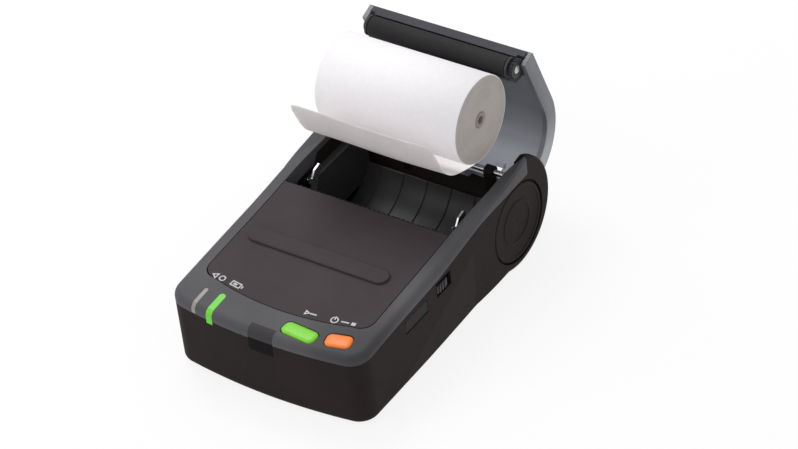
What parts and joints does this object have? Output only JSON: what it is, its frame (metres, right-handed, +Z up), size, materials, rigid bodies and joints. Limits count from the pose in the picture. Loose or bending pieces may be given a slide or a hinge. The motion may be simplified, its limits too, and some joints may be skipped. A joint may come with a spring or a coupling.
{
  "type": "portable label printer",
  "caption": "Palm-sized clamshell thermal printer with round side hubs, smoke lid open on a rear hinge, platen on the lid and a white paper roll raised over its well",
  "frame": {"origin": "on the table under the middle of the case, at the centre of the middle foot pad", "axes": "+X is the printer's right as the user faces it, +Y points to the lid hinge at the rear, +Z is up"},
  "size_m": [0.0786, 0.1371, 0.0763],
  "materials": {
    "case_dark": "fine grain",
    "frame_grey": "fine grain",
    "panel_dark": "fine grain",
    "well_black": "smooth",
    "inner_black": "smooth",
    "smoke": "translucent, polished inside",
    "green_button": "soft gloss",
    "orange_button": "soft gloss",
    "light_grey": "frosted",
    "light_green": "frosted",
    "lens_black": "polished",
    "rubber_black": "matte",
    "paper_white": "thermal paper, matte",
    "core_grey": "plain",
    "board_green": "lacquered",
    "battery_blue": "sleeve",
    "steel": "plain",
    "aluminium": "anodised",
    "ceramic": "glazed line",
    "brass": "plain",
    "cable": "film",
    "gear_white": "plain",
    "emitter": "clear"
  },
  "bodies": {
    "case": {"lower_case": "case_dark", "left_hub_cap": "case_dark", "right_hub_cap": "case_dark", "upper_frame": "frame_grey", "front_panel": "panel_dark", "paper_well": "well_black", "battery_pack": "battery_blue", "battery_contacts": "brass", "main_board": "board_green", "key_board": "board_green", "rubber_feet": "rubber_black", "case_screws": "steel", "mechanism_frame": "steel", "print_head": "ceramic", "head_heat_sink": "aluminium", "head_springs": "steel", "tear_bar": "steel", "paper_sensor": "inner_black", "stepper_motor": "steel", "gear_axles": "steel", "head_cable": "cable", "button_switches": "inner_black", "power_light_pipe": "light_green", "error_light_pipe": "light_grey", "light_emitters": "emitter", "infrared_window": "lens_black", "latch_spring": "steel", "data_socket": "steel", "power_socket": "inner_black", "rail_pin": "steel", "hinge_pin": "steel", "lid_spring": "steel"},
    "battery_cover": {"battery_cover": "case_dark"},
    "port_cover": {"port_cover": "rubber_black"},
    "feed_button": {"feed_button": "green_button"},
    "power_button": {"power_button": "orange_button"},
    "latch": {"latch_levers": "steel", "latch_shaft": "steel", "release_lever": "inner_black"},
    "motor_pinion": {"motor_pinion": "brass"},
    "reduction_gear": {"reduction_gear": "gear_white"},
    "drive_gear": {"drive_gear": "gear_white"},
    "lid": {"lid_shell": "smoke", "platen_holder": "inner_black", "platen_bushes": "inner_black"},
    "platen": {"platen_roller": "rubber_black", "platen_shaft": "steel", "platen_gear": "inner_black"},
    "core": {"paper_core": "core_grey", "paper_tail": "paper_white"},
    "roll": {"paper_roll": "paper_white"}
  },
  "joints": [
    {"name": "lid_hinge", "type": "hinge", "parent": "case", "child": "lid", "pos_m": [0, 0.056, 0.02185], "axis": [1, 0, 0], "range_deg": [0, 86], "stiffness_Nm_per_rad": 0.03, "springref_deg": -28.65, "deforming": ["paper_tail"]},
    {"name": "core_slide", "type": "slide", "parent": "lid", "child": "core", "axis": [0, 0.6808, -0.7325], "range_m": [0, 0.02267]},
    {"name": "roll_spin", "type": "hinge", "parent": "core", "child": "roll", "pos_m": [0, 0.0378, 0.0603], "axis": [1, 0, 0], "continuous": true},
    {"name": "platen_spin", "type": "hinge", "parent": "lid", "child": "platen", "pos_m": [0, 0.05817, 0.06892], "axis": [1, 0, 0], "continuous": true},
    {"name": "drive_gear_spin", "type": "hinge", "parent": "case", "child": "drive_gear", "pos_m": [0, 0.0029, 0.0204], "axis": [1, 0, 0], "continuous": true},
    {"name": "reduction_gear_spin", "type": "hinge", "parent": "case", "child": "reduction_gear", "pos_m": [0, -0.00704, 0.02462], "axis": [1, 0, 0], "continuous": true},
    {"name": "motor_pinion_spin", "type": "hinge", "parent": "case", "child": "motor_pinion", "pos_m": [0, -0.0115, 0.0175], "axis": [1, 0, 0], "continuous": true},
    {"name": "latch_release", "type": "hinge", "parent": "case", "child": "latch", "pos_m": [0, 0.0005, 0.0144], "axis": [1, 0, 0], "range_deg": [-7, 0], "stiffness_Nm_per_rad": 0.12, "springref_deg": 17.19},
    {"name": "feed_button_press", "type": "slide", "parent": "case", "child": "feed_button", "axis": [0, 0, -1], "range_m": [0, 0.0006], "stiffness_N_per_m": 900, "springref_m": -0.0004},
    {"name": "power_button_press", "type": "slide", "parent": "case", "child": "power_button", "axis": [0, 0, -1], "range_m": [0, 0.0006], "stiffness_N_per_m": 900, "springref_m": -0.0004},
    {"name": "port_cover_hinge", "type": "hinge", "parent": "case", "child": "port_cover", "pos_m": [0.0387, -0.0245, 0.0221], "axis": [0, 1, 0], "range_deg": [0, 90]},
    {"name": "battery_cover_slide", "type": "slide", "parent": "case", "child": "battery_cover", "axis": [0, 1, 0], "range_m": [0, 0.004]}
  ],
  "couplings": [
    {"joint": "core_slide", "follows": "lid_hinge", "m_per_rad": 0.01509},
    {"joint": "reduction_gear_spin", "follows": "drive_gear_spin", "ratio": -0.8},
    {"joint": "motor_pinion_spin", "follows": "drive_gear_spin", "ratio": 2}
  ]
}
